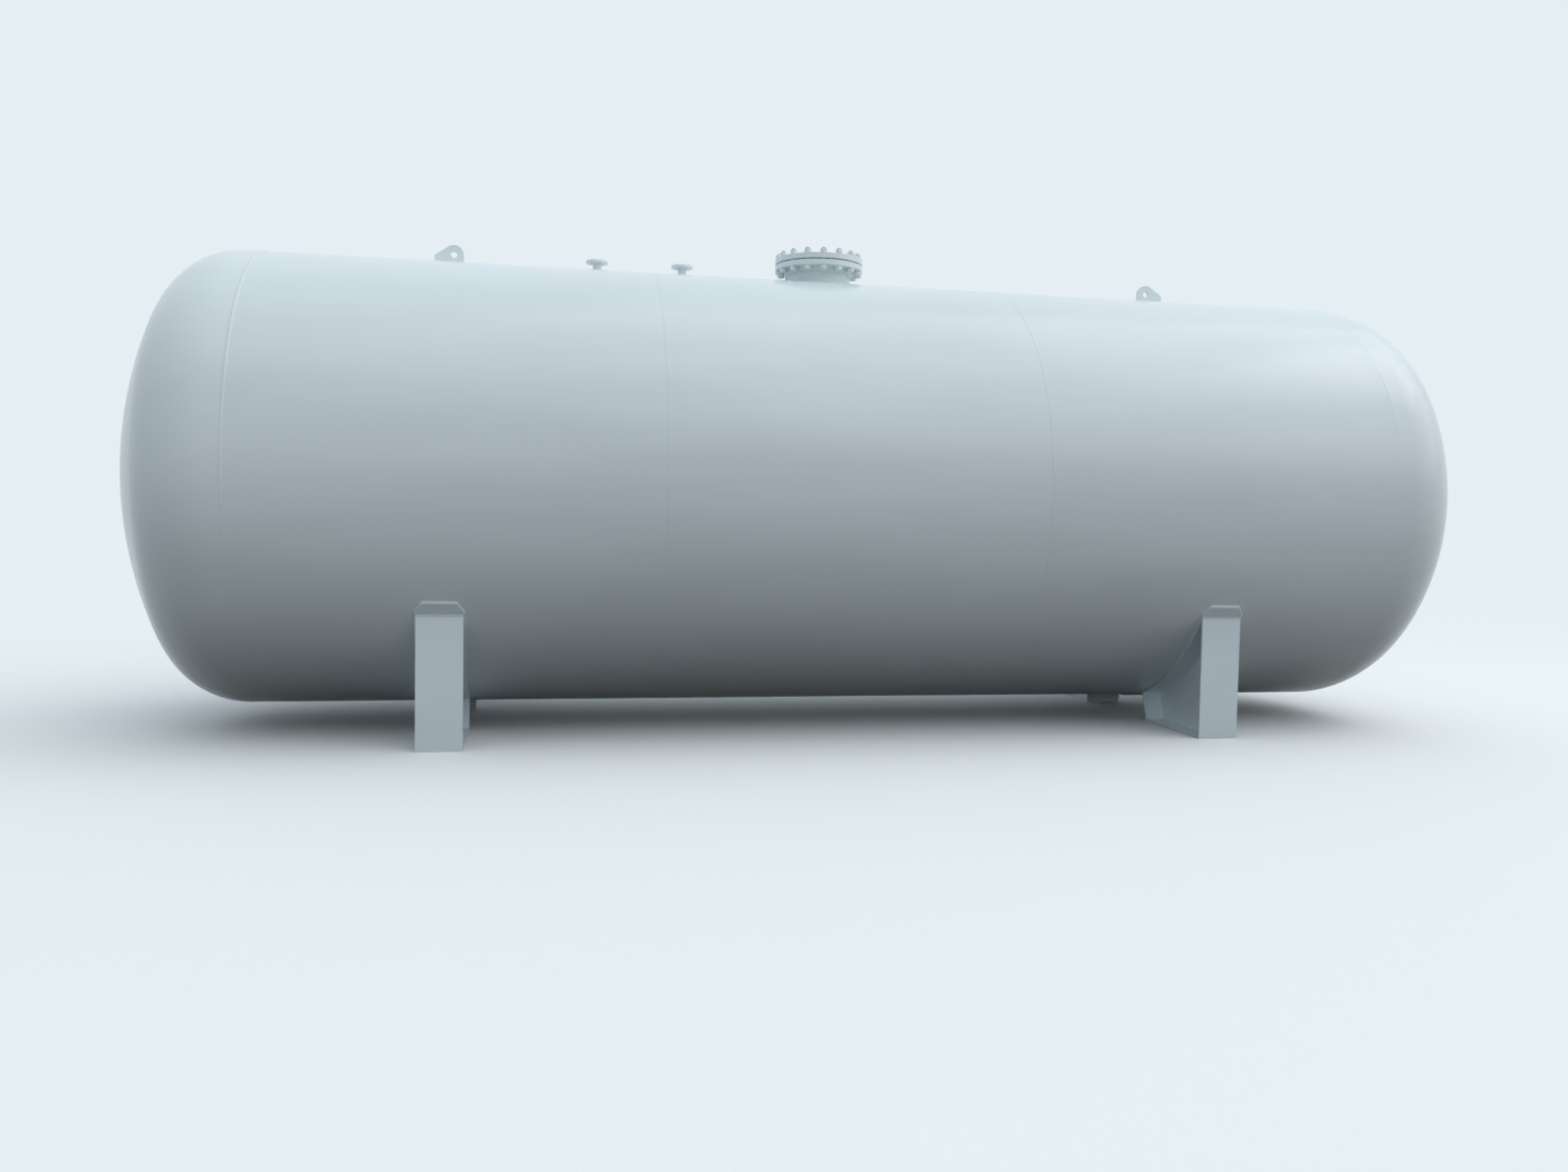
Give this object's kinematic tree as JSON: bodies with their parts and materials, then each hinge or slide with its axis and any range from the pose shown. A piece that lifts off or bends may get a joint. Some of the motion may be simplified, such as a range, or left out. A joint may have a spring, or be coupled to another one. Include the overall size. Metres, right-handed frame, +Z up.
{
  "type": "horizontal pressure tank",
  "caption": "Horizontal steel pressure tank with dished heads on welded plate legs with wear pads, a bolted top manway, flanged top nozzles and lifting lugs",
  "frame": {"origin": "on the ground, midway between the four legs under the tank's middle", "axes": "+X along the tank towards the right-hand head as seen from the front; the front is -Y; +Z is up"},
  "size_m": [9.193, 2.9998, 3.33],
  "materials": {
    "tank_paint": "semi-gloss white enamel over rolled and dished plate",
    "leg_paint": "satin white enamel over flame-cut plate",
    "fitting_paint": "semi-gloss white enamel over forged flanges and plate",
    "gasket": "dark compressed fibre sheet"
  },
  "bodies": {
    "root": {"shell_course_left": "tank_paint", "shell_course_middle": "tank_paint", "shell_course_right": "tank_paint", "head_left": "tank_paint", "head_right": "tank_paint", "wear_pad_left": "leg_paint", "wear_pad_right": "leg_paint", "end_plate_front_left": "leg_paint", "end_plate_front_right": "leg_paint", "end_plate_back_left": "leg_paint", "end_plate_back_right": "leg_paint", "web_front_left": "leg_paint", "web_front_right": "leg_paint", "web_back_left": "leg_paint", "web_back_right": "leg_paint", "inner_rib_front_left": "leg_paint", "inner_rib_front_right": "leg_paint", "inner_rib_back_left": "leg_paint", "inner_rib_back_right": "leg_paint", "sole_plate_front_left": "leg_paint", "sole_plate_front_right": "leg_paint", "sole_plate_back_left": "leg_paint", "sole_plate_back_right": "leg_paint", "lifting_lug_left": "fitting_paint", "lifting_lug_right": "fitting_paint", "manway_neck": "fitting_paint", "manway_flange": "fitting_paint", "manway_cover": "fitting_paint", "nozzle_neck_left": "fitting_paint", "nozzle_neck_right": "fitting_paint", "nozzle_flange_left": "fitting_paint", "nozzle_flange_right": "fitting_paint", "manway_gasket": "gasket"}
  },
  "joints": []
}
